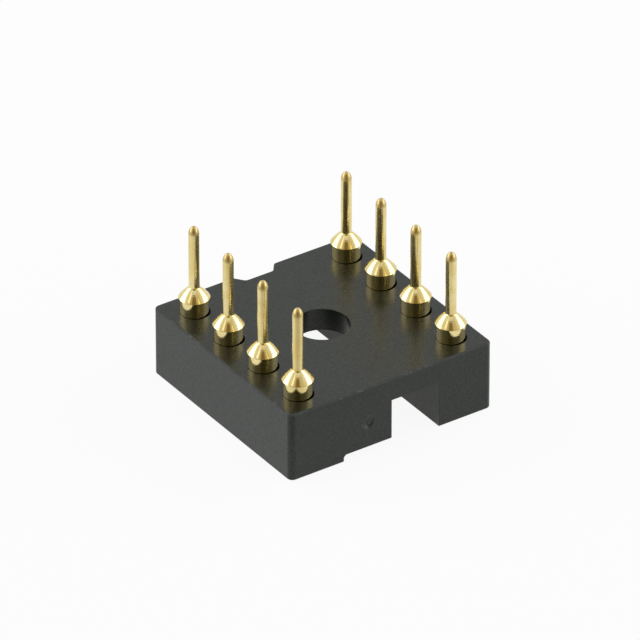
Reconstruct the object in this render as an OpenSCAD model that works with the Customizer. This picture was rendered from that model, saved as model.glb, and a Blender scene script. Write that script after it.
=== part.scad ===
// Dual row chip socket with turned contacts, lying on its mating face with the solder tails up.
// X runs along the rows, Y across them and Z up. The origin is the middle of the mating face.
// Contact 1 stands beside the notch, and the count runs round the body as on the real socket.

/* [Rows] */
// Distance between neighbouring contacts in a row
pitch = 2.54; // [2.3:0.01:3]
// Distance between the two rows
row_spacing = 7.62; // [7:0.01:10.16]
// Contacts in each row
row_contacts = 4; // [2:1:10]

/* [Body] */
// Plastic past the last contact of a row, from its axis to the end of the body
end_margin = 1.27; // [1.1:0.01:1.6]
// Plastic outside a row, from its axis to the side of the body
side_margin = 1.22; // [1.1:0.01:1.4]
// Height of the body, from the mating face to the tail side
body_h = 3.2; // [2.9:0.05:4.5]
// Width of the rail that holds a row
rail_w = 2.65; // [2.4:0.05:2.9]
// Thickness of the web that joins the rails on the tail side
web_t = 1; // [0.6:0.05:1.4]
// Radius of the body's upright corners
corner_r = 0.32; // [0.16:0.01:0.6]
// Radius along the body's top and bottom edges
edge_r = 0.1; // [0.04:0.01:0.14]

/* [Half walls] */
// Thickness of the half wall that closes one side of each channel end
wall_t = 1.2; // [0.8:0.05:1.6]
// Height of the half wall's lower edge above the mating face
wall_rise = 0.33; // [0.2:0.01:0.8]
// Fillet between that edge and the rail
wall_fillet_r = 0.16; // [0.05:0.01:0.2]
// Diameter of the dimple that the moulding gate leaves
gate_d = 0.6; // [0.4:0.05:0.9]
// Depth of the dimple
gate_depth = 0.1; // [0.05:0.01:0.2]
// Height of the dimple above the mating face
gate_z = 1.46; // [1:0.02:1.7]

/* [Notch and opening] */
// Width of the end notch at the end face
notch_w = 2.04; // [1.8:0.02:2.4]
// Width of the notch's floor
notch_floor_w = 1.36; // [0.9:0.02:1.5]
// Depth of the notch
notch_depth = 0.45; // [0.3:0.01:0.7]
// Radius in the notch's two inner corners
notch_r = 0.18; // [0.05:0.01:0.25]
// Radius on the notch's two outer corners
notch_lip_r = 0.12; // [0.05:0.01:0.2]
// Diameter of the round opening in the middle of the web
opening_d = 2.46; // [1.6:0.02:3.2]

/* [Sleeves] */
// Diameter of the sleeve's head in the mating face
head_d = 1.6; // [1.46:0.02:1.7]
// Height of the head
head_h = 0.4; // [0.25:0.05:0.7]
// Diameter of the stretch that is pressed into the plastic
press_d = 1.37; // [1.32:0.01:1.42]
// Distance from the tail side down to where that stretch ends
press_end = 0.28; // [0.2:0.02:1.2]
// Length over which it narrows to the collar
press_taper_h = 0.12; // [0.06:0.01:0.18]
// Diameter of the collar that stands out of the tail side
collar_d = 1.23; // [1.15:0.01:1.28]
// Height of the collar above the tail side, up to where it widens
collar_rise = 0.56; // [0.3:0.02:0.9]
// Height over which the collar widens to the lip
shoulder_h = 0.12; // [0.02:0.01:0.16]
// Diameter of the lip, which the board stands on
lip_d = 1.34; // [1.3:0.01:1.4]
// Thickness of the lip
lip_t = 0.03; // [0.02:0.01:0.2]
// Height of the cone from the lip to the tail
cone_h = 0.52; // [0.3:0.02:0.7]
// Diameter of the solder tail
tail_d = 0.46; // [0.4:0.01:0.56]
// Length of the tail past the cone, with its nose
tail_l = 2.91; // [2.2:0.01:3.6]
// Length of the rounded nose
nose_l = 0.3; // [0.2:0.01:0.4]
// Diameter of the small flat on the nose
nose_flat_d = 0.14; // [0.06:0.02:0.2]

/* [Sleeve bore] */
// Diameter of the bore that takes the clip
bore_d = 0.95; // [0.88:0.01:1]
// Depth of the bore's straight wall, from the face of the head
bore_depth = 3.1; // [2.6:0.05:3.3]
// Length of the drill's cone at its end
bore_tip_h = 0.27; // [0.1:0.01:0.3]
// Diameter of the funnel at its mouth
mouth_d = 1.2; // [1.06:0.02:1.3]
// Depth of the funnel
mouth_h = 0.16; // [0.1:0.01:0.2]

/* [Clips] */
// Sheet thickness of the clip
clip_t = 0.1; // [0.06:0.01:0.13]
// Distance from the face of the head to the clip's ring
clip_inset = 0.24; // [0.2:0.02:0.4]
// Height of the ring
ring_h = 0.5; // [0.3:0.05:0.7]
// Chamfer inside the ring's mouth
ring_lead = 0.05; // [0.02:0.01:0.06]
// Length of the fingers past the ring
finger_l = 1.4; // [1:0.05:1.6]
// Length of the straight land at their tips, which grips the chip's leg
land_l = 0.3; // [0.1:0.05:0.5]
// Sheet thickness at the very tips, which are ground thinner on the outside
tip_t = 0.05; // [0.03:0.005:0.055]
// Opening between the lands of opposite fingers
finger_gap = 0.36; // [0.24:0.02:0.5]
// Width of the slots that part the fingers
slot_w = 0.12; // [0.08:0.01:0.18]

/* [Fits] */
// Depth of the sleeve's head below the mating face
head_recess = 0.03; // [0.01:0.01:0.08]
// Radial clearance round the head
head_gap = 0.02; // [0.01:0.005:0.04]
// Radial clearance left round the pressed stretch
press_gap = 0.004; // [0.002:0.001:0.01]
// Radial clearance left round the clip's ring
clip_gap = 0.004; // [0.002:0.001:0.01]

/* [Hidden] */
$fn = 64;
cut = 1;
fingers = 4;
contacts = 2 * row_contacts;
row_l = (row_contacts - 1) * pitch;
body_l = row_l + 2 * end_margin;
body_w = row_spacing + 2 * side_margin;
channel_w = body_w - 2 * rail_w;
channel_h = body_h - web_t;
seat_z = head_recess + head_h;
press_z = body_h - press_end;
shoulder_z = body_h + collar_rise;
lip_z = shoulder_z + shoulder_h;
cone_z = lip_z + lip_t;
tail_z = cone_z + cone_h;
tip_z = tail_z + tail_l;
nose_step = (tail_d - nose_flat_d) / 2;
nose_r = (pow(nose_step, 2) + pow(nose_l, 2)) / (2 * nose_step);
ring_r = bore_d / 2 - clip_gap;
ring_z = head_recess + clip_inset;
finger_z = ring_z + ring_h;
land_z = finger_z + finger_l - land_l;
plastic = [0.13, 0.13, 0.13];
gold = [0.84, 0.7, 0.36];
spring_gold = [0.87, 0.76, 0.47];

// Place of a contact: the first row runs away from the notch, the second comes back to it
function contact_at(i) = i <= row_contacts
    ? [(i - 1) * pitch - row_l / 2, row_spacing / 2]
    : [row_l / 2 - (i - row_contacts - 1) * pitch, -row_spacing / 2];

// Plan of the body with its rounded upright corners
module body_plan() {
    square([body_l - 2 * corner_r, body_w], center = true);
    square([body_l, body_w - 2 * corner_r], center = true);
    for (x = [-1, 1], y = [-1, 1])
        translate([x * (body_l / 2 - corner_r), y * (body_w / 2 - corner_r)]) circle(corner_r);
}

// What an edge radius takes off a square edge that lies at the origin, with the body below and left
module edge_profile() {
    difference() {
        translate([-edge_r, -edge_r]) square(edge_r + cut);
        translate([-edge_r, -edge_r]) circle(edge_r);
    }
}

// A straight edge cutter along X, for an edge of the given length on the side of +Y
module straight_edge(length, side) {
    translate([length / 2, side, 0])
        rotate([90, 0, -90]) mirror([1, 0, 0]) linear_extrude(length) edge_profile();
}

// The ring that rounds the body's upper rim, with the rim at z = 0
module rim_cutter() {
    for (turn = [0, 180]) {
        rotate(turn) straight_edge(body_l - 2 * corner_r, body_w / 2);
        rotate(turn + 90) straight_edge(body_w - 2 * corner_r, body_l / 2);
    }
    for (x = [0, 1], y = [0, 1])
        mirror([x, 0, 0]) mirror([0, y, 0])
            translate([body_l / 2 - corner_r, body_w / 2 - corner_r, 0])
                rotate_extrude(angle = 90) translate([corner_r, 0]) edge_profile();
}

// Space between the rails: full width between the half walls, half width beside each of them
module channel() {
    middle = body_l / 2 - wall_t;
    translate([-middle, -channel_w / 2, -cut]) cube([2 * middle, channel_w, channel_h + cut]);
    for (turn = [0, 180])
        rotate(turn) translate([0, 0, -cut]) cube([body_l / 2 + cut, channel_w / 2, channel_h + cut]);
}

// Gap under the half walls, with a fillet where it meets the rails
module wall_step() {
    rotate([90, 0, 90]) linear_extrude(body_l + 2 * cut, center = true)
        difference() {
            translate([-channel_w / 2, -cut]) square([channel_w, wall_rise + cut]);
            for (side = [0, 1])
                mirror([side, 0]) translate([channel_w / 2 - wall_fillet_r, wall_rise - wall_fillet_r])
                    difference() {
                        square(wall_fillet_r + cut);
                        circle(wall_fillet_r);
                    }
        }
}

// Half plan of the notch, with the end face at y = 0 and the body above it
module notch_half() {
    half_w = notch_w / 2;
    half_floor = notch_floor_w / 2;
    run = half_w - half_floor;
    lean = atan2(notch_depth, run);
    inner = notch_r * tan(lean / 2);
    outer = notch_lip_r * tan(lean / 2);
    // Slanted side with the inner corner cut back to where its round starts and ends
    polygon([
        [0, -cut],
        [half_w, -cut],
        [half_w, 0],
        [half_floor + inner * cos(lean), notch_depth - inner * sin(lean)],
        [half_floor - inner, notch_depth],
        [0, notch_depth]
    ]);
    translate([half_floor - inner, notch_depth - notch_r]) circle(notch_r);
    // Rounded outer corner
    difference() {
        polygon([
            [half_w, -cut],
            [half_w + outer, -cut],
            [half_w + outer, 0],
            [half_w - outer * cos(lean), outer * sin(lean)]
        ]);
        translate([half_w + outer, notch_lip_r]) circle(notch_lip_r);
    }
}

// Notch that marks the end of contact 1, cut through the whole height
module notch() {
    translate([-body_l / 2, 0, -cut]) rotate(-90) linear_extrude(body_h + 2 * cut)
        for (side = [0, 1]) mirror([side, 0]) notch_half();
}

// Shallow round dimple on the outside of the front half wall
module gate_dimple() {
    ball_r = (pow(gate_d / 2, 2) + pow(gate_depth, 2)) / (2 * gate_depth);
    translate([body_l / 2 + ball_r - gate_depth, -channel_w / 4, gate_z]) sphere(ball_r);
}

// Hole for a sleeve, with the seat for its head
module sleeve_hole() {
    translate([0, 0, -cut]) cylinder(d = press_d + 2 * press_gap, h = body_h + 2 * cut);
    translate([0, 0, -cut]) cylinder(d = head_d + 2 * head_gap, h = seat_z + cut);
}

module insulator_body() {
    color(plastic) difference() {
        linear_extrude(body_h) body_plan();
        translate([0, 0, body_h]) rim_cutter();
        mirror([0, 0, 1]) rim_cutter();
        channel();
        wall_step();
        notch();
        gate_dimple();
        cylinder(d = opening_d, h = body_h + cut);
        for (i = [1:contacts]) translate(contact_at(i)) sleeve_hole();
    }
}

// Outline of the sleeve from its axis outwards, up to where the nose begins
module sleeve_profile() {
    polygon([
        [0, head_recess],
        [head_d / 2, head_recess],
        [head_d / 2, seat_z],
        [press_d / 2, seat_z],
        [press_d / 2, press_z],
        [collar_d / 2, press_z + press_taper_h],
        [collar_d / 2, shoulder_z],
        [lip_d / 2, lip_z],
        [lip_d / 2, cone_z],
        [tail_d / 2, tail_z],
        [tail_d / 2, tip_z - nose_l],
        [0, tip_z - nose_l]
    ]);
    // Bullet nose: the arc leaves the tail's side with no edge and ends at the small flat
    intersection() {
        translate([tail_d / 2 - nose_r, tip_z - nose_l]) circle(nose_r);
        translate([0, tip_z - nose_l]) square([tail_d / 2, nose_l]);
    }
}

// Blind bore with a funnel mouth and the drill's cone at its end
module bore_profile() {
    polygon([
        [0, head_recess - cut],
        [mouth_d / 2, head_recess - cut],
        [mouth_d / 2, head_recess],
        [bore_d / 2, head_recess + mouth_h],
        [bore_d / 2, head_recess + bore_depth],
        [0, head_recess + bore_depth + bore_tip_h]
    ]);
}

// Turned sleeve: head, pressed stretch, collar, lip, cone and solder tail from one bar
module pin_sleeve(i) {
    color(gold) translate(contact_at(i)) rotate_extrude() difference() {
        sleeve_profile();
        bore_profile();
    }
}

// Wall of the clip: a ring at the mouth, then fingers that lean in to a straight land
module clip_profile() {
    polygon([
        [ring_r, ring_z],
        [ring_r, finger_z],
        [finger_gap / 2 + clip_t, land_z],
        [finger_gap / 2 + tip_t, land_z + land_l],
        [finger_gap / 2, land_z + land_l],
        [finger_gap / 2, land_z],
        [ring_r - clip_t, finger_z],
        [ring_r - clip_t, ring_z + ring_lead],
        [ring_r - clip_t + ring_lead, ring_z]
    ]);
}

// Spring clip pressed into the sleeve's bore, slotted into its fingers
module contact_clip(i) {
    color(spring_gold) translate(contact_at(i)) difference() {
        rotate_extrude() clip_profile();
        for (k = [0:fingers - 1])
            rotate((k + 0.5) * 360 / fingers) translate([0, -slot_w / 2, finger_z])
                cube([bore_d, slot_w, finger_l + cut]);
    }
}

insulator_body();
for (i = [1:contacts])
    pin_sleeve(i);
for (i = [1:contacts])
    contact_clip(i);
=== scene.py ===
import math

import bmesh
import bpy
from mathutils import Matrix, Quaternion, Vector


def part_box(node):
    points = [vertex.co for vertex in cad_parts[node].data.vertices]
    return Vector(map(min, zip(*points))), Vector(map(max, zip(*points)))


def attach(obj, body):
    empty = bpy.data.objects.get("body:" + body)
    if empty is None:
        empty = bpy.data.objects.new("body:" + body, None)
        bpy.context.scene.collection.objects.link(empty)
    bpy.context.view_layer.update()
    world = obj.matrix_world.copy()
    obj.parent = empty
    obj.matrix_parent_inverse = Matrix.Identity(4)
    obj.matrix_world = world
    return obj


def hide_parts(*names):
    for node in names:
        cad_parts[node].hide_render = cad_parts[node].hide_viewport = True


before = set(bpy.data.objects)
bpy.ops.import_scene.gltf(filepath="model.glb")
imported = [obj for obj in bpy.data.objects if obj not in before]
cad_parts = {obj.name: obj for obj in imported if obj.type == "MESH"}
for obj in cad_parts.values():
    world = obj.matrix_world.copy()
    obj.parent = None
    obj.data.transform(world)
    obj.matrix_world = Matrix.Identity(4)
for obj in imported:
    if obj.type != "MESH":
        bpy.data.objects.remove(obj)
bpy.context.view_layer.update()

millimetre = 0.001  # pieces are modelled in millimetres and brought to metres when they are done
weldDistance = 0.0005  # mm, points closer than this become one
slack = 0.002  # mm, by which two measures may differ and still count as the same
mostly = 0.9  # part of a face's normal along an axis, from which the face looks that way
sharpFrom = 40  # degrees between two faces, from which the edge between them gets a small radius


# Small tools for working in edit mode

def selectOnly(piece=None):
    bpy.ops.object.select_all(action="DESELECT")
    if piece:
        piece.select_set(True)
        bpy.context.view_layer.objects.active = piece


def startEditing(piece):
    selectOnly(piece)
    bpy.ops.object.mode_set(mode="EDIT")
    bpy.ops.mesh.select_mode(type="VERT")
    bpy.ops.mesh.select_all(action="SELECT")


def stopEditing():
    bpy.ops.object.mode_set(mode="OBJECT")


def pickEdges(piece, wanted):
    bpy.ops.mesh.select_mode(type="EDGE")
    bpy.ops.mesh.select_all(action="DESELECT")
    work = bmesh.from_edit_mesh(piece.data)
    for edge in work.edges:
        if wanted(edge.verts[0].co, edge.verts[1].co):
            edge.select_set(True)
    bmesh.update_edit_mesh(piece.data)


def pickFaces(piece, wanted):
    bpy.ops.mesh.select_mode(type="FACE")
    bpy.ops.mesh.select_all(action="DESELECT")
    work = bmesh.from_edit_mesh(piece.data)
    for face in work.faces:
        if wanted(face.calc_center_median(), face.normal):
            face.select_set(True)
    bmesh.update_edit_mesh(piece.data)


def near(a, b, within=slack):
    return abs(a - b) < within


def roundPicked(size, segments):
    bpy.ops.mesh.bevel(offset=size, offset_type="OFFSET", segments=segments, profile=0.5, affect="EDGES")


def settle(piece):
    # Leaves the piece unturned and unscaled at the origin, with its place in its mesh
    selectOnly(piece)
    bpy.ops.object.transform_apply(location=True, rotation=True, scale=True)


def addBox(name, low, high):
    selectOnly()
    low, high = Vector(low), Vector(high)
    bpy.ops.mesh.primitive_cube_add(size=1, location=(low + high) / 2)
    box = bpy.context.object
    box.name = name
    box.scale = high - low
    settle(box)
    return box


def applyModifier(piece, kind, **settings):
    modifier = piece.modifiers.new(kind.lower(), kind)
    for setting, value in settings.items():
        setattr(modifier, setting, value)
    selectOnly(piece)
    bpy.ops.object.modifier_apply(modifier=modifier.name)


def cutAway(piece, cutter):
    applyModifier(piece, "BOOLEAN", operation="DIFFERENCE", solver="EXACT", object=cutter)
    bpy.data.objects.remove(cutter)


def weldOn(piece, added):
    applyModifier(piece, "BOOLEAN", operation="UNION", solver="EXACT", object=added)
    bpy.data.objects.remove(added)


def softenEdges(piece, width, **settings):
    selectOnly(piece)
    bpy.ops.object.shade_smooth()
    applyModifier(piece, "BEVEL", width=width, segments=2, limit_method="ANGLE",
                  angle_limit=math.radians(sharpFrom), offset_type="OFFSET", harden_normals=True, **settings)


def turnProfile(name, points, segments, capped=True):
    # Extrudes a circle from point to point of a profile of (radius, height), as on a lathe
    selectOnly()
    radius, height = points[0]
    bpy.ops.mesh.primitive_circle_add(vertices=segments, radius=radius, location=(0, 0, height),
                                      fill_type="NGON" if capped else "NOTHING")
    piece = bpy.context.object
    piece.name = name
    settle(piece)
    startEditing(piece)
    for nextRadius, nextHeight in points[1:]:
        move = {"value": (0, 0, nextHeight - height)}
        if capped:
            bpy.ops.mesh.extrude_region_move(TRANSFORM_OT_translate=move)
        else:
            bpy.ops.mesh.extrude_edges_move(TRANSFORM_OT_translate=move)
        grow = nextRadius / radius
        bpy.ops.transform.resize(value=(grow, grow, 1), center_override=(0, 0, nextHeight))
        radius, height = nextRadius, nextHeight
    bpy.ops.mesh.select_all(action="SELECT")
    bpy.ops.mesh.remove_doubles(threshold=weldDistance)
    bpy.ops.mesh.normals_make_consistent(inside=False)
    stopEditing()
    return piece


def roundRing(piece, radius, height, size, segments=3):
    def onRing(point):
        return near(point.z, height) and near(math.hypot(point.x, point.y), radius)

    startEditing(piece)
    pickEdges(piece, lambda a, b: onRing(a) and onRing(b))
    roundPicked(size, segments)
    stopEditing()


def bringToMetres(piece, x=0.0, y=0.0):
    piece.scale = (millimetre, millimetre, millimetre)
    piece.location = (x * millimetre, y * millimetre, 0)
    settle(piece)


# Camera, at the photograph's view

cameraView = {
    "azimuth": 55.70,  # degrees round the socket
    "elevation": 32.41,  # degrees above the floor
    "distance": 0.4438,  # metres from the point that it looks at
    "sensor": 36,  # mm
    "lens": 601.9,  # mm
    "aimSideways": -0.093,  # mm from the socket's origin, to the right in the picture
    "aimUp": 2.874,  # mm, upwards in the picture
    "nearest": 0.05,  # metres, what is closer or farther isn't drawn
    "farthest": 5,
}


def directionTo(azimuth, elevation):
    turn, rise = math.radians(azimuth), math.radians(elevation)
    return Vector((math.sin(turn) * math.cos(rise), -math.cos(turn) * math.cos(rise), math.sin(rise)))


def addCamera():
    back = directionTo(cameraView["azimuth"], cameraView["elevation"])
    right = directionTo(cameraView["azimuth"] + 90, 0)
    up = back.cross(right)
    aim = (right * cameraView["aimSideways"] + up * cameraView["aimUp"]) * millimetre
    bpy.ops.object.camera_add(location=aim + back * cameraView["distance"])
    camera = bpy.context.object
    camera.name = "photoCamera"
    camera.rotation_euler = (-back).to_track_quat("-Z", "Y").to_euler()
    camera.data.sensor_width = cameraView["sensor"]
    camera.data.lens = cameraView["lens"]
    camera.data.clip_start = cameraView["nearest"]
    camera.data.clip_end = cameraView["farthest"]
    bpy.context.scene.camera = camera


addCamera()
print("camera set")


# Small tools for materials

def newMaterial(name):
    material = bpy.data.materials.new(name)
    material.use_nodes = True
    nodes = material.node_tree.nodes
    shader = nodes["Principled BSDF"]
    return material, nodes, material.node_tree.links, shader


def objectMillimetres(nodes, links):
    # Object coordinates, scaled so that the patterns below are sized in millimetres
    place = nodes.new("ShaderNodeTexCoord")
    scale = nodes.new("ShaderNodeMapping")
    scale.inputs["Scale"].default_value = (1 / millimetre,) * 3
    links.new(place.outputs["Object"], scale.inputs["Vector"])
    return scale.outputs["Vector"]


def addNoise(nodes, links, place, perMillimetre, detail, roughness):
    noise = nodes.new("ShaderNodeTexNoise")
    noise.inputs["Scale"].default_value = perMillimetre
    noise.inputs["Detail"].default_value = detail
    noise.inputs["Roughness"].default_value = roughness
    links.new(place, noise.inputs["Vector"])
    return noise.outputs["Fac"]


def addRamp(nodes, links, factor, stops):
    ramp = nodes.new("ShaderNodeValToRGB")
    for element, (position, colour) in zip(ramp.color_ramp.elements, stops):
        element.position = position
        element.color = (*colour, 1)
    links.new(factor, ramp.inputs["Fac"])
    return ramp.outputs["Color"]


def addRange(nodes, links, value, fromLow, fromHigh, toLow=0.0, toHigh=1.0):
    spread = nodes.new("ShaderNodeMapRange")
    ends = {"From Min": fromLow, "From Max": fromHigh, "To Min": toLow, "To Max": toHigh}
    for socket, number in ends.items():
        spread.inputs[socket].default_value = number
    links.new(value, spread.inputs["Value"])
    return spread.outputs["Result"]


def addSmooth(nodes, links, value, fromLow, fromHigh, toLow=0.0, toHigh=1.0):
    eased = addRange(nodes, links, value, fromLow, fromHigh, toLow, toHigh)
    eased.node.interpolation_type = "SMOOTHSTEP"
    return eased


def addMath(nodes, links, operation, *values):
    step = nodes.new("ShaderNodeMath")
    step.operation = operation
    for socket, value in zip(step.inputs, values):
        if isinstance(value, (int, float)):
            socket.default_value = value
        else:
            links.new(value, socket)
    return step.outputs[0]


def addDot(nodes, links, place, direction):
    dot = nodes.new("ShaderNodeVectorMath")
    dot.operation = "DOT_PRODUCT"
    dot.inputs[1].default_value = direction
    links.new(place, dot.inputs[0])
    return dot.outputs["Value"]


def addMix(nodes, links, share, first, second):
    mix = nodes.new("ShaderNodeMix")
    mix.data_type = "RGBA"
    links.new(share, mix.inputs["Factor"])
    for socket, value in ((mix.inputs[6], first), (mix.inputs[7], second)):  # its two colour sockets
        if isinstance(value, tuple):
            socket.default_value = (*value, 1)
        else:
            links.new(value, socket)
    return mix.outputs[2]


def addBump(nodes, links, height, depth, strength, under=None):
    bump = nodes.new("ShaderNodeBump")
    bump.inputs["Strength"].default_value = strength
    bump.inputs["Distance"].default_value = depth * millimetre
    links.new(height, bump.inputs["Height"])
    if under:
        links.new(under, bump.inputs["Normal"])
    return bump.outputs["Normal"]


# Materials. A pattern is (features in a millimetre, detail, roughness), and a colour stands with the place in
# its pattern at which it is reached.

plasticLook = {
    "mottle": (0.9, 5, 0.6),
    "grain": (13, 2.5, 0.55),
    "specks": (10.4, 1.5, 0.6),
    "scuffs": (3.1, 6, 0.7),
    "colours": ((0.35, (0.0085, 0.0130, 0.0090)), (0.7, (0.0120, 0.0170, 0.0122))),  # by the mottle
    "roughness": (0.24, 0.33),  # by the mottle
    "gloss": (0.36, 0.50),  # of the dull and the bright specks
    "spread": (0.35, 0.65),  # of a pattern, over which roughness and gloss go from low to high
    "grainDepth": 0.005,  # mm
    "grainStrength": 0.6,
    "wornColours": ((0.52, (0.050, 0.056, 0.051)), (0.74, (0.13, 0.135, 0.125))),  # rubbed, by the scuffs
    "wornRoughness": 0.35,  # more than on the faces
    "wornGloss": 0.6,  # share of the faces' gloss
}


def makePlastic(name, worn=False):
    material, nodes, links, shader = newMaterial(name)
    place = objectMillimetres(nodes, links)
    mottle = addNoise(nodes, links, place, *plasticLook["mottle"])
    if worn:
        scuffs = addNoise(nodes, links, place, *plasticLook["scuffs"])
        colour = addRamp(nodes, links, scuffs, plasticLook["wornColours"])
    else:
        colour = addRamp(nodes, links, mottle, plasticLook["colours"])
    links.new(colour, shader.inputs["Base Color"])
    extra = plasticLook["wornRoughness"] if worn else 0
    smooth, rough = (value + extra for value in plasticLook["roughness"])
    dullness = addRange(nodes, links, mottle, *plasticLook["spread"], smooth, rough)
    links.new(dullness, shader.inputs["Roughness"])
    specks = addNoise(nodes, links, place, *plasticLook["specks"])
    kept = plasticLook["wornGloss"] if worn else 1
    dull, bright = (value * kept for value in plasticLook["gloss"])
    gloss = addRange(nodes, links, specks, *plasticLook["spread"], dull, bright)
    links.new(gloss, shader.inputs["Specular IOR Level"])
    grain = addNoise(nodes, links, place, *plasticLook["grain"])
    surface = addBump(nodes, links, grain, plasticLook["grainDepth"], plasticLook["grainStrength"])
    links.new(surface, shader.inputs["Normal"])
    return material


goldLook = {
    "tint": (1.7, 4, 0.6),
    "smear": (6, 3, 0.65),
    "pits": (11, 3, 0.6),
    "colours": ((0.35, (0.78, 0.63, 0.26)), (0.65, (0.86, 0.74, 0.38))),  # by the tint
    "smearSpread": (0.3, 0.7),  # of the smear, over which the roughness goes from low to high
    "roughness": (0.06, 0.13),
    "tailFrom": (4.36, 4.46),  # mm, heights between which the drawn tail grows duller than the turned foot
    "tailRoughness": 0.16,
    "noseFrom": (6.94, 7.1),  # mm, heights between which the nose grows duller still, and browner with a painted dark reflection
    "noseRoughness": 0.12,
    "noseReflectionTone": (0.50, 0.385, 0.16),  # painted dark reflection: browner and darker than the plating
    "noseShare": 0.85,
    "pitDepth": 0.0016,  # mm
    "turningPerMm": 5.0,  # bands of the cutting tool's marks
    "turningDistortion": 1.5,
    "turningDetail": 3,
    "turningDepth": 0.0007,  # mm
    "markStrength": 0.5,
}
clipLook = {**goldLook, "colours": ((0.35, (0.81, 0.67, 0.31)), (0.65, (0.88, 0.77, 0.42)))}


def addTurningMarks(nodes, links, place, look, surface):
    bands = nodes.new("ShaderNodeTexWave")
    bands.bands_direction = "Z"
    bands.inputs["Scale"].default_value = look["turningPerMm"]
    bands.inputs["Distortion"].default_value = look["turningDistortion"]
    bands.inputs["Detail"].default_value = look["turningDetail"]
    links.new(place, bands.inputs["Vector"])
    return addBump(nodes, links, bands.outputs["Fac"], look["turningDepth"], look["markStrength"], surface)


def makeGold(name, look, turned=True):
    material, nodes, links, shader = newMaterial(name)
    place = objectMillimetres(nodes, links)
    tint = addNoise(nodes, links, place, *look["tint"])
    colour = addRamp(nodes, links, tint, look["colours"])
    smear = addNoise(nodes, links, place, *look["smear"])
    dullness = addRange(nodes, links, smear, *look["smearSpread"], *look["roughness"])
    pits = addNoise(nodes, links, place, *look["pits"])
    surface = addBump(nodes, links, pits, look["pitDepth"], look["markStrength"])
    if turned:
        height = addDot(nodes, links, place, (0, 0, 1))
        tail = addRange(nodes, links, height, *look["tailFrom"], 0, look["tailRoughness"])
        nose = addRange(nodes, links, height, *look["noseFrom"], 0, look["noseRoughness"])
        dullness = addMath(nodes, links, "ADD", dullness, addMath(nodes, links, "ADD", tail, nose))
        # painted reflection: the nose's colour turns browner and darker, for the dark reflection on it
        paintedNoseReflection = addRange(nodes, links, height, *look["noseFrom"], 0, look["noseShare"])
        colour = addMix(nodes, links, paintedNoseReflection, colour, look["noseReflectionTone"])
        surface = addTurningMarks(nodes, links, place, look, surface)
    shader.inputs["Metallic"].default_value = 1
    links.new(colour, shader.inputs["Base Color"])
    links.new(dullness, shader.inputs["Roughness"])
    links.new(surface, shader.inputs["Normal"])
    return material


blackPlastic = makePlastic("blackPlastic")
wornPlastic = makePlastic("wornPlasticEdge", worn=True)
sleeveGold = makeGold("sleeveGold", goldLook)
clipGold = makeGold("clipGold", clipLook, turned=False)
print("materials made")


# Moulded body

def contactPlace(number):
    # Axis of a contact in millimetres, read from its sleeve
    low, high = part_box("pin_sleeve_%d" % number)
    return (low.x + high.x) / 2 / millimetre, (low.y + high.y) / 2 / millimetre


contactPlaces = [contactPlace(number) for number in range(1, 9)]
bodyLow, bodyHigh = (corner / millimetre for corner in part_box("insulator_body"))
bodyShape = {
    "cornerRadius": 0.27,
    "cornerSegments": 12,
    "rimRadius": 0.08,
    "rimSegments": 6,
    "rimSlopes": (0.02, 0.998),  # rise of a face's normal, between which the face belongs to a rim
    "railWidth": 2.65,
    "webThickness": 1.04,
    "wallThickness": 1.2,
    "wallRise": 0.33,
    "wallFillet": 0.16,
    "notchWidth": 2.04,
    "notchFloor": 1.36,
    "notchDepth": 0.45,
    "notchInnerRadius": 0.18,
    "notchOuterRadius": 0.12,
    "innerSegments": 8,  # of the fillets in the notch and the half walls
    "openingWidth": 2.37,
    "openingReach": (1, 4),  # heights between which its cutter stands
    "openingSegments": 96,
    "gateWidth": 0.66,
    "gateDepth": 0.09,
    "gateHeight": 1.53,
    "gateRings": 16,
    "gateSegments": 48,
    "gateBrim": 0.07,  # share of the dish's depth by which its cutter goes on rising past the wall
    "gateReach": 0.3,  # of the cutter, out from the wall
    "stubWidth": 0.34,  # what is left of the gate, torn off in the dimple
    "stubHeight": 0.03,
    "stubShift": (0.12, -0.07),  # along Y and up, from the dimple's middle
    "stubRings": 6,
    "stubSegments": 16,
    "stubFlare": 1.1,  # its foot under the dimple's floor, against its width
    "stubRoot": 0.05,
    "stubUneven": 0.0015,
    "pressHole": 1.378,
    "seatHole": 1.64,
    "seatDepth": 0.43,
    "closedHole": 1.30,  # where the plastic has sprung back round the collar, under the top
    "closedDepth": 0.13,
    "closedShift": (0.017, 0.025),  # what the closed stretch sits off the hole's axis
    "holeSegments": 64,
    "holeEdge": 0.01,
    "holeEdgeSegments": 3,
    "flatWithin": 0.5,  # degrees between two faces that are taken as one
    "softEdge": 0.022,  # radius on every edge that the mould leaves sharp
    "margin": 0.5,  # what a cutter reaches past the block
}
channelHalf = bodyHigh.y - bodyShape["railWidth"]


def addBlock():
    block = addBox("mouldedBody", bodyLow, bodyHigh)
    block.data.materials.append(blackPlastic)
    block.data.materials.append(wornPlastic)
    startEditing(block)
    pickEdges(block, lambda a, b: near(a.x, b.x) and near(a.y, b.y))
    roundPicked(bodyShape["cornerRadius"], bodyShape["cornerSegments"])
    stopEditing()
    return block


def notchCutter(lean):
    end, half, deep = bodyLow.x, bodyShape["notchWidth"] / 2, bodyShape["notchDepth"]
    margin = bodyShape["margin"]
    cutter = addBox("notchCutter", (end, -half, bodyLow.z - margin), (end + deep, half, bodyHigh.z + margin))
    startEditing(cutter)
    pickFaces(cutter, lambda centre, normal: normal.x > mostly)
    narrow = bodyShape["notchFloor"] / bodyShape["notchWidth"]
    bpy.ops.transform.resize(value=(1, narrow, 1), center_override=(end, 0, 0))
    pickFaces(cutter, lambda centre, normal: normal.x < -mostly)
    bpy.ops.mesh.extrude_region_move(TRANSFORM_OT_translate={"value": (-margin, 0, 0)})
    pickEdges(cutter, lambda a, b: near(a.x, end + deep) and near(a.x, b.x) and near(a.y, b.y))
    roundPicked(bodyShape["notchInnerRadius"] * math.tan(lean / 2), bodyShape["innerSegments"])
    stopEditing()
    return cutter


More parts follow.
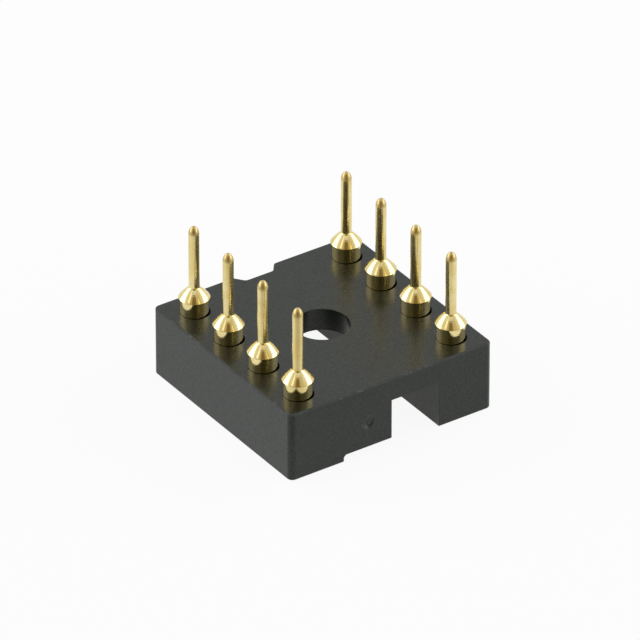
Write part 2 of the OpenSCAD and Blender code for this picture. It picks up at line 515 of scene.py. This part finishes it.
def cutNotch(body):
    lean = math.atan2(bodyShape["notchDepth"], (bodyShape["notchWidth"] - bodyShape["notchFloor"]) / 2)
    cutAway(body, notchCutter(lean))

    def onMouth(point):
        return near(point.x, bodyLow.x) and near(abs(point.y), bodyShape["notchWidth"] / 2)

    startEditing(body)
    bpy.ops.mesh.remove_doubles(threshold=weldDistance)
    pickEdges(body, lambda a, b: near(a.y, b.y) and onMouth(a) and onMouth(b))
    roundPicked(bodyShape["notchOuterRadius"] * math.tan(lean / 2), bodyShape["rimSegments"])
    stopEditing()


def roundRims(body):
    # The top and the bottom outline, which wear first
    startEditing(body)
    for rim in (bodyHigh.z, bodyLow.z):
        pickEdges(body, lambda a, b: near(a.z, rim) and near(b.z, rim))
        roundPicked(bodyShape["rimRadius"], bodyShape["rimSegments"])
    low, high = bodyShape["rimSlopes"]
    pickFaces(body, lambda centre, normal: low < abs(normal.z) < high)
    body.active_material_index = 1
    bpy.ops.object.material_slot_assign()
    stopEditing()


def channelCutter():
    margin, thickness = bodyShape["margin"], bodyShape["wallThickness"]
    middle, ceiling = bodyHigh.x - thickness, bodyHigh.z - bodyShape["webThickness"]
    cutter = addBox("channelCutter", (-middle, -channelHalf, -margin), (middle, channelHalf, ceiling))
    startEditing(cutter)
    bpy.ops.mesh.bisect(plane_co=(0, 0, 0), plane_no=(0, 1, 0))
    for side in (1, -1):  # one half of each end stays open
        pickFaces(cutter, lambda centre, normal: normal.x * side > mostly and centre.y * side > 0)
        outward = side * (thickness + margin)
        bpy.ops.mesh.extrude_region_move(TRANSFORM_OT_translate={"value": (outward, 0, 0)})
    bpy.ops.mesh.select_all(action="SELECT")
    bpy.ops.mesh.normals_make_consistent(inside=False)
    stopEditing()
    return cutter


def wallStepCutter():
    margin, rise = bodyShape["margin"], bodyShape["wallRise"]
    cutter = addBox("wallStepCutter", (bodyLow.x - margin, -channelHalf, -margin),
                    (bodyHigh.x + margin, channelHalf, rise))
    startEditing(cutter)
    pickEdges(cutter, lambda a, b: near(a.z, rise) and near(b.z, a.z) and near(a.y, b.y))
    roundPicked(bodyShape["wallFillet"], bodyShape["innerSegments"])
    stopEditing()
    return cutter


def turnToWall(piece, shiftY=0.0, shiftZ=0.0):
    # Lays a piece that was turned about Z on the front half wall, at the gate
    piece.rotation_euler.y = math.radians(90)
    piece.location = (bodyHigh.x, -channelHalf / 2 + shiftY, bodyShape["gateHeight"] + shiftZ)
    settle(piece)


def gateCutter():
    # A dish with a level middle. It goes on past the wall at its rim's slope, so that the cut has no step.
    half, depth, rings = bodyShape["gateWidth"] / 2, bodyShape["gateDepth"], bodyShape["gateRings"]
    brim = half * (1 + 1 / rings)
    points = [(brim, bodyShape["gateReach"]), (brim, depth * bodyShape["gateBrim"])]
    for step in range(1, rings):
        share = 1 - step / rings
        points.append((half * share, -depth * (1 - share ** 3) ** 1.5))
    cutter = turnProfile("gateCutter", points, bodyShape["gateSegments"])
    turnToWall(cutter)
    return cutter


def gateStub():
    half, height, rings = bodyShape["stubWidth"] / 2, bodyShape["stubHeight"], bodyShape["stubRings"]
    floor = -bodyShape["gateDepth"]
    points = [(half * bodyShape["stubFlare"], floor - bodyShape["stubRoot"])]
    for step in range(rings):
        share = 1 - step / rings
        points.append((half * share, floor + height * (1 - share ** 2)))
    stub = turnProfile("gateStub", points, bodyShape["stubSegments"])
    startEditing(stub)
    bpy.ops.transform.vertex_random(offset=bodyShape["stubUneven"], uniform=0.5, normal=0.5, seed=4)
    stopEditing()
    stub.data.materials.append(blackPlastic)
    stub.data.materials.append(wornPlastic)
    for face in stub.data.polygons:
        face.material_index = 1
    turnToWall(stub, *bodyShape["stubShift"])
    return stub


def openingCutter():
    half = bodyShape["openingWidth"] / 2
    points = [(half, height) for height in bodyShape["openingReach"]]
    return turnProfile("openingCutter", points, bodyShape["openingSegments"])


def sleeveHoleCutter():
    low, top = -bodyShape["margin"], bodyHigh.z + bodyShape["margin"]
    closed, shoulder = bodyHigh.z - bodyShape["closedDepth"], bodyShape["seatDepth"]
    seat, press, rim = bodyShape["seatHole"] / 2, bodyShape["pressHole"] / 2, bodyShape["closedHole"] / 2
    points = [(seat, low), (seat, shoulder), (press, shoulder), (press, closed), (rim, closed), (rim, top)]
    cutter = turnProfile("sleeveHoleCutter", points, bodyShape["holeSegments"])

    def onClosedStretch(point):
        return point.z > closed - slack and math.hypot(point.x, point.y) < press - slack

    startEditing(cutter)
    pickEdges(cutter, lambda a, b: onClosedStretch(a) and onClosedStretch(b))
    bpy.ops.transform.translate(value=(*bodyShape["closedShift"], 0))
    stopEditing()
    return cutter


def cutSleeveHoles(body):
    hole = sleeveHoleCutter()
    for x, y in contactPlaces:
        cutter = hole.copy()
        cutter.data = hole.data.copy()
        bpy.context.collection.objects.link(cutter)
        cutter.location = (x, y, 0)
        settle(cutter)
        cutAway(body, cutter)
    bpy.data.objects.remove(hole)


def joinFlatFaces(body):
    startEditing(body)
    bpy.ops.mesh.remove_doubles(threshold=weldDistance)
    flat = math.radians(bodyShape["flatWithin"])
    bpy.ops.mesh.dissolve_limited(angle_limit=flat, use_dissolve_boundaries=False)
    stopEditing()


def roundHoleRims(body):
    shiftX, shiftY = bodyShape["closedShift"]
    middles = [(x + shiftX, y + shiftY) for x, y in contactPlaces]
    half = bodyShape["closedHole"] / 2

    def onRim(point):
        return near(point.z, bodyHigh.z) and any(
            near(math.hypot(point.x - x, point.y - y), half, 2 * slack) for x, y in middles)

    startEditing(body)
    pickEdges(body, lambda a, b: onRim(a) and onRim(b))
    roundPicked(bodyShape["holeEdge"], bodyShape["holeEdgeSegments"])
    stopEditing()


def makeBody():
    body = addBlock()
    cutNotch(body)
    roundRims(body)
    cutAway(body, channelCutter())
    cutAway(body, wallStepCutter())
    cutAway(body, gateCutter())
    weldOn(body, gateStub())
    cutAway(body, openingCutter())
    cutSleeveHoles(body)
    joinFlatFaces(body)
    roundHoleRims(body)
    softenEdges(body, bodyShape["softEdge"], use_clamp_overlap=False, material=1)
    applyModifier(body, "WEIGHTED_NORMAL", mode="FACE_AREA", weight=90, keep_sharp=True)
    bringToMetres(body)
    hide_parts("insulator_body")
    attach(body, "root")
    return body


moulded = makeBody()
print("body moulded:", len(moulded.data.polygons), "faces")


# Turned sleeves

sleeveLow, sleeveHigh = (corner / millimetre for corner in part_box("pin_sleeve_1"))
sleeveShape = {
    "headWidth": sleeveHigh.x - sleeveLow.x,
    "headHeight": 0.4,
    "headEdge": 0.04,
    "pressWidth": 1.37,
    "pressDrop": 0.28,  # from the plastic's tail side down to the end of the pressed stretch
    "taperHeight": 0.12,
    "collarWidth": 1.23,
    "collarRise": 0.7,  # of the lip's underside, above the plastic
    "lipWidth": 1.34,
    "lipRise": 0.725,  # of the lip's widest ring
    "lipRadius": 0.02,
    "lipUnderside": -60,  # degrees above level, where the lip's arc starts
    "lipSteps": 7,
    "coneTop": 1.2,  # of the cone's upper end
    "coneFootLean": 37,  # degrees that the cone's surface faces up, at the lip and under the tail
    "coneTopLean": 48,
    "coneSteps": 10,
    "straightFrom": 0.04,  # from a shoulder or nose to the extra ring that keeps a wall's shading straight
    "tailWidth": 0.46,
    "tailRoot": 0.05,  # radius between cone and tail
    "tailRootSegments": 5,
    "noseLength": 0.38,
    "noseTurn": 87,  # degrees of the ellipse, which leave a small flat at the end
    "noseSteps": 10,
    "boreWidth": 0.95,
    "boreDepth": 3.1,
    "drillTip": 0.27,
    "drillFlat": 0.04,
    "mouthWidth": 1.2,
    "mouthDepth": 0.16,
    "mouthEdge": 0.015,
    "segments": 72,
    "sharpFrom": 32,  # degrees, from which an edge shows as one
}


def lipPoints(rise):
    # Arc from the lip's underside to the cone's foot
    radius = sleeveShape["lipRadius"]
    middle = sleeveShape["lipWidth"] / 2 - radius
    low, high, steps = sleeveShape["lipUnderside"], sleeveShape["coneFootLean"], sleeveShape["lipSteps"]
    turns = [math.radians(low + (high - low) * step / steps) for step in range(steps + 1)]
    return [(middle + radius * math.cos(turn), rise + radius * math.sin(turn)) for turn in turns]


def conePoints(foot, top):
    # A cone that is a little steeper at the lip than under the tail
    low, high, steps = sleeveShape["coneFootLean"], sleeveShape["coneTopLean"], sleeveShape["coneSteps"]
    leans = [math.radians(low + (high - low) * (step + 0.5) / steps) for step in range(steps)]
    inward = (foot[0] - top[0]) / sum(math.sin(lean) for lean in leans)
    upward = (top[1] - foot[1]) / sum(math.cos(lean) for lean in leans)
    points = []
    radius, height = foot
    for lean in leans:
        radius, height = radius - inward * math.sin(lean), height + upward * math.cos(lean)
        points.append((radius, height))
    return points


def nosePoints(top):
    # Half of an ellipse, which leaves the tail's side with no edge
    half, length, steps = sleeveShape["tailWidth"] / 2, sleeveShape["noseLength"], sleeveShape["noseSteps"]
    turns = [math.radians(sleeveShape["noseTurn"] * step / steps) for step in range(steps + 1)]
    return [(half * math.cos(turn), top - length + length * math.sin(turn)) for turn in turns]


def footPoints(face, top):
    # Bore, mouth, head, pressed stretch and collar, from the bore's end to the lip
    boreEnd, seat = face + sleeveShape["boreDepth"], face + sleeveShape["headHeight"]
    pressTop = top - sleeveShape["pressDrop"]
    collarFoot = pressTop + sleeveShape["taperHeight"]
    bore, mouth, head = (sleeveShape[name] / 2 for name in ("boreWidth", "mouthWidth", "headWidth"))
    press, collar = sleeveShape["pressWidth"] / 2, sleeveShape["collarWidth"] / 2
    return [
        (sleeveShape["drillFlat"] / 2, boreEnd + sleeveShape["drillTip"]),
        (bore, boreEnd),
        (bore, face + sleeveShape["mouthDepth"]),
        (mouth, face),
        (head, face),
        (head, seat),
        (press, seat),
        (press, pressTop),
        (collar, collarFoot),
        (collar, collarFoot + sleeveShape["straightFrom"]),
        (collar, top + sleeveShape["collarRise"]),
    ]


def makeSleeve():
    face, top = sleeveLow.z, bodyHigh.z
    root = (sleeveShape["tailWidth"] / 2, top + sleeveShape["coneTop"])
    straight = sleeveShape["straightFrom"]
    lip = lipPoints(top + sleeveShape["lipRise"])
    tail = [
        (root[0], root[1] + 3 * straight),
        (root[0], sleeveHigh.z - sleeveShape["noseLength"] - straight),
    ]
    points = footPoints(face, top) + lip + conePoints(lip[-1], root) + tail + nosePoints(sleeveHigh.z)
    sleeve = turnProfile("pinSleeve1", points, sleeveShape["segments"])
    roundRing(sleeve, sleeveShape["headWidth"] / 2, face, sleeveShape["headEdge"])
    roundRing(sleeve, sleeveShape["mouthWidth"] / 2, face, sleeveShape["mouthEdge"])
    roundRing(sleeve, *root, sleeveShape["tailRoot"], sleeveShape["tailRootSegments"])
    selectOnly(sleeve)
    bpy.ops.object.shade_smooth_by_angle(angle=math.radians(sleeveShape["sharpFrom"]))
    return sleeve


# Spring clips

clipShape = {
    "thickness": 0.1,
    "inset": 0.24,
    "ringHeight": 0.5,
    "ringLead": 0.05,
    "fingerLength": 1.4,
    "landLength": 0.3,
    "tipThickness": 0.05,
    "fingerGap": 0.36,
    "slotWidth": 0.12,
    "slotTurns": (45, 135),  # degrees
    "slotReach": 1,  # what a slot's cutter reaches from the axis, and past the tips
    "clearance": 0.004,
    "softEdge": 0.008,
    "segments": 48,
}


def slotCutter(turn, low, high):
    half, reach = clipShape["slotWidth"] / 2, clipShape["slotReach"]
    cutter = addBox("slotCutter", (-reach, -half, low), (reach, half, high + reach))
    cutter.rotation_euler.z = math.radians(turn)
    settle(cutter)
    return cutter


def makeClip():
    outer = sleeveShape["boreWidth"] / 2 - clipShape["clearance"]
    inner = outer - clipShape["thickness"]
    mouth = sleeveLow.z + clipShape["inset"]
    finger = mouth + clipShape["ringHeight"]
    tip = finger + clipShape["fingerLength"]
    land = tip - clipShape["landLength"]
    gap = clipShape["fingerGap"] / 2
    points = [
        (outer, mouth),
        (outer, finger),
        (gap + clipShape["thickness"], land),
        (gap + clipShape["tipThickness"], tip),
        (gap, tip),
        (gap, land),
        (inner, finger),
        (inner, mouth + clipShape["ringLead"]),
        (inner + clipShape["ringLead"], mouth),
        (outer, mouth),
    ]
    clip = turnProfile("contactClip1", points, clipShape["segments"], capped=False)
    for turn in clipShape["slotTurns"]:
        cutAway(clip, slotCutter(turn, finger, tip))
    startEditing(clip)
    bpy.ops.mesh.remove_doubles(threshold=weldDistance)
    stopEditing()
    softenEdges(clip, clipShape["softEdge"])
    return clip


# Eight contacts

def copyTo(piece, name, x, y):
    copied = piece.copy()
    copied.data = piece.data.copy()
    copied.name = copied.data.name = name
    bpy.context.collection.objects.link(copied)
    bringToMetres(copied, x, y)
    return copied


sleeve, clip = makeSleeve(), makeClip()
for piece, finish in ((sleeve, sleeveGold), (clip, clipGold)):
    piece.data.materials.clear()
    piece.data.materials.append(finish)
for number, (x, y) in enumerate(contactPlaces, 1):
    turned = copyTo(sleeve, "sleeve%d" % number, x, y)
    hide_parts("pin_sleeve_%d" % number)
    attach(turned, "root")
    sprung = copyTo(clip, "clip%d" % number, x, y)
    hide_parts("contact_clip_%d" % number)
    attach(sprung, "root")
print("contacts made:", len(sleeve.data.polygons), "faces a sleeve,", len(clip.data.polygons), "a clip")
bpy.data.objects.remove(sleeve)
bpy.data.objects.remove(clip)


# Floor, surroundings and lamps

studio = {
    "floorSize": 2.0,  # metres
    "floorColour": (0.95, 0.95, 0.95),
    "floorRoughness": 0.9,
    "floorGlow": 0.92,  # share of plain white that the camera and the gold see in the floor
    "ambient": 0.42,
    "walls": (0.87, 0.87, 0.87),  # the room, as the gold and the plastic show it
    "dimAzimuth": 55.7,  # the dim side of the room, behind the camera
    "dimSector": (78, 30),  # degrees to either side, where the dimness starts and where it is full
    "dimColour": (0.62, 0.53, 0.36),  # warm, as seen in the gold
    "brightFloor": (0.95, 0.95, 0.95),  # the floor near the socket, as the gold and the plastic show it
    "floorShadeInFront": (0.60, 0.55, 0.44),  # painted shade on the floor in front of it, as the gold and the plastic show it
    "floorShadeInFrontFrom": (0.0075, 0.0145),  # metres in front of the socket, where that painted shade starts and where it is full
    "floorShadeUnder": (0.72, 0.72, 0.70),  # painted shade on the floor under the socket, as the gold and the plastic show it
    "floorShadeUnderTo": (0.0043, 0.0050),  # metres from the middle, to where that painted shade is full and where it ends
    "figureColour": (0.24, 0.175, 0.075),  # the dark behind the camera
    "figureSector": (25, 9),
    "figureShadeFloorFrom": (0.016, 0.024),  # the same dark, painted on the floor as shade
    "ceiling": (53, 60),  # degrees above the floor, over which the room turns evenly bright
    "windowColour": (1.3, 1.3, 1.25),  # a narrow bright window beside the dark
    "windowAzimuth": 9.7,
    "windowSector": (11, 6),
    "windowSill": (34, 38),  # degrees above the floor, over which the window starts
}


def addSector(nodes, links, place, azimuth, sector):
    # 1 in one compass direction of the room and 0 away from it, and 0 near the ceiling
    flat = nodes.new("ShaderNodeVectorMath")
    flat.operation = "MULTIPLY"
    flat.inputs[1].default_value = (1, 1, 0)
    links.new(place, flat.inputs[0])
    heading = nodes.new("ShaderNodeVectorMath")
    heading.operation = "NORMALIZE"
    links.new(flat.outputs["Vector"], heading.inputs[0])
    toward = addDot(nodes, links, heading.outputs["Vector"], directionTo(azimuth, 0))
    wide, core = (math.cos(math.radians(degrees)) for degrees in sector)
    across = addSmooth(nodes, links, toward, wide, core)
    low, high = (math.sin(math.radians(degrees)) for degrees in studio["ceiling"])
    below = addSmooth(nodes, links, addDot(nodes, links, place, (0, 0, 1)), low, high, 1, 0)
    return addMath(nodes, links, "MULTIPLY", across, below)


def addShadeUnderneath(nodes, links, place):
    # 1 under the socket, where the floor gets painted shade, and 0 around it
    alongX = addMath(nodes, links, "ABSOLUTE", addDot(nodes, links, place, (1, 0, 0)))
    alongY = addMath(nodes, links, "ABSOLUTE", addDot(nodes, links, place, (0, 1, 0)))
    farther = addMath(nodes, links, "MAXIMUM", alongX, alongY)
    return addSmooth(nodes, links, farther, *studio["floorShadeUnderTo"], 1, 0)


def addMirroredFloor(nodes, links, place):
    # The floor as the gold and the plastic show it, with painted shade: bright near the socket, painted shade
    # under it, dim and then dark in front
    forward = addDot(nodes, links, place, directionTo(studio["dimAzimuth"], 0))
    # painted shade: the floor dims in front of the socket, as the gold and the plastic show it
    dimness = addSmooth(nodes, links, forward, *studio["floorShadeInFrontFrom"])
    floor = addMix(nodes, links, dimness, studio["brightFloor"], studio["floorShadeInFront"])
    # painted shade: the floor under the socket is darker, as the gold and the plastic show it
    floor = addMix(nodes, links, addShadeUnderneath(nodes, links, place), floor, studio["floorShadeUnder"])
    # painted shade: the dark behind the camera also lies on the floor, as the gold shows it
    figure = addSector(nodes, links, place, studio["dimAzimuth"], studio["figureSector"])
    away = addSmooth(nodes, links, forward, *studio["figureShadeFloorFrom"])
    figure = addMath(nodes, links, "MULTIPLY", figure, away)
    return addMix(nodes, links, figure, floor, studio["figureColour"])


def addFloor():
    selectOnly()
    bpy.ops.mesh.primitive_plane_add(size=studio["floorSize"], location=(0, 0, 0))
    floor = bpy.context.object
    floor.name = "floor"
    material, nodes, links, shader = newMaterial("floorPaper")
    shader.inputs["Base Color"].default_value = (*studio["floorColour"], 1)
    shader.inputs["Roughness"].default_value = studio["floorRoughness"]
    shader.inputs["Specular IOR Level"].default_value = 0
    rays = nodes.new("ShaderNodeLightPath")
    facing = nodes.new("ShaderNodeNewGeometry")
    place = nodes.new("ShaderNodeTexCoord").outputs["Object"]
    white = nodes.new("ShaderNodeEmission")
    clear = nodes.new("ShaderNodeBsdfTransparent")
    seen = rays.outputs["Is Camera Ray"]
    mirrored = addMirroredFloor(nodes, links, place)
    links.new(addMix(nodes, links, seen, mirrored, (1, 1, 1)), white.inputs["Color"])
    shiny = addMath(nodes, links, "MAXIMUM", seen, rays.outputs["Is Glossy Ray"])
    glow = nodes.new("ShaderNodeMixShader")
    links.new(addMath(nodes, links, "MULTIPLY", shiny, studio["floorGlow"]), glow.inputs["Fac"])
    links.new(shader.outputs[0], glow.inputs[1])
    links.new(white.outputs[0], glow.inputs[2])
    under = nodes.new("ShaderNodeMixShader")  # from below, the floor doesn't hide the socket
    links.new(facing.outputs["Backfacing"], under.inputs["Fac"])
    links.new(glow.outputs[0], under.inputs[1])
    links.new(clear.outputs[0], under.inputs[2])
    links.new(under.outputs[0], nodes["Material Output"].inputs["Surface"])
    floor.data.materials.append(material)


def addRoom(nodes, links):
    # What the gold and the plastic show of the room: a dim side with a dark middle, and a window beside it
    place = nodes.new("ShaderNodeTexCoord").outputs["Generated"]
    dimness = addSector(nodes, links, place, studio["dimAzimuth"], studio["dimSector"])
    room = addMix(nodes, links, dimness, studio["walls"], studio["dimColour"])
    figure = addSector(nodes, links, place, studio["dimAzimuth"], studio["figureSector"])
    room = addMix(nodes, links, figure, room, studio["figureColour"])
    low, high = (math.sin(math.radians(degrees)) for degrees in studio["windowSill"])
    above = addSmooth(nodes, links, addDot(nodes, links, place, (0, 0, 1)), low, high)
    window = addSector(nodes, links, place, studio["windowAzimuth"], studio["windowSector"])
    window = addMath(nodes, links, "MULTIPLY", window, above)
    return addMix(nodes, links, window, room, studio["windowColour"])


def addSurroundings():
    world = bpy.data.worlds.new("whiteStudio")
    world.use_nodes = True
    bpy.context.scene.world = world
    nodes, links = world.node_tree.nodes, world.node_tree.links
    nodes.clear()
    room, daylight, white = (nodes.new("ShaderNodeBackground") for _ in range(3))
    links.new(addRoom(nodes, links), room.inputs["Color"])
    daylight.inputs["Strength"].default_value = studio["ambient"]
    daylight.inputs["Color"].default_value = white.inputs["Color"].default_value = (1, 1, 1, 1)
    rays = nodes.new("ShaderNodeLightPath")
    kinds = ("Camera", "Glossy", "Transmission")
    seen, mirrored, through = (rays.outputs["Is %s Ray" % kind] for kind in kinds)
    shiny = addMath(nodes, links, "MAXIMUM", mirrored, through)
    lit, either = nodes.new("ShaderNodeMixShader"), nodes.new("ShaderNodeMixShader")
    for mix, share, first, second in ((lit, shiny, daylight, room), (either, seen, lit, white)):
        links.new(share, mix.inputs["Fac"])
        links.new(first.outputs[0], mix.inputs[1])
        links.new(second.outputs[0], mix.inputs[2])
    output = nodes.new("ShaderNodeOutputWorld")
    links.new(either.outputs[0], output.inputs["Surface"])


softboxes = {
    "elevation": 25,  # degrees above the floor
    "distance": 0.30,  # metres from the socket
    "width": 0.54,
    "height": 0.16,
    "power": 0.60,  # watts
    "places": {"leftBox": (-45, -27), "rightBox": (156, 27)},  # azimuth and lean in degrees
}


def addSoftboxes():
    for name, (azimuth, lean) in softboxes["places"].items():
        outward = directionTo(azimuth, softboxes["elevation"])
        selectOnly()
        bpy.ops.object.light_add(type="AREA", location=outward * softboxes["distance"])
        lamp = bpy.context.object
        lamp.name = name
        tilted = Quaternion((0, 0, 1), math.radians(lean))
        lamp.rotation_euler = (outward.to_track_quat("Z", "Y") @ tilted).to_euler()
        lamp.data.shape = "RECTANGLE"
        lamp.data.size = softboxes["width"]
        lamp.data.size_y = softboxes["height"]
        lamp.data.energy = softboxes["power"]


addFloor()
addSurroundings()
addSoftboxes()
bpy.context.scene.view_settings.view_transform = "Standard"
print("studio set")
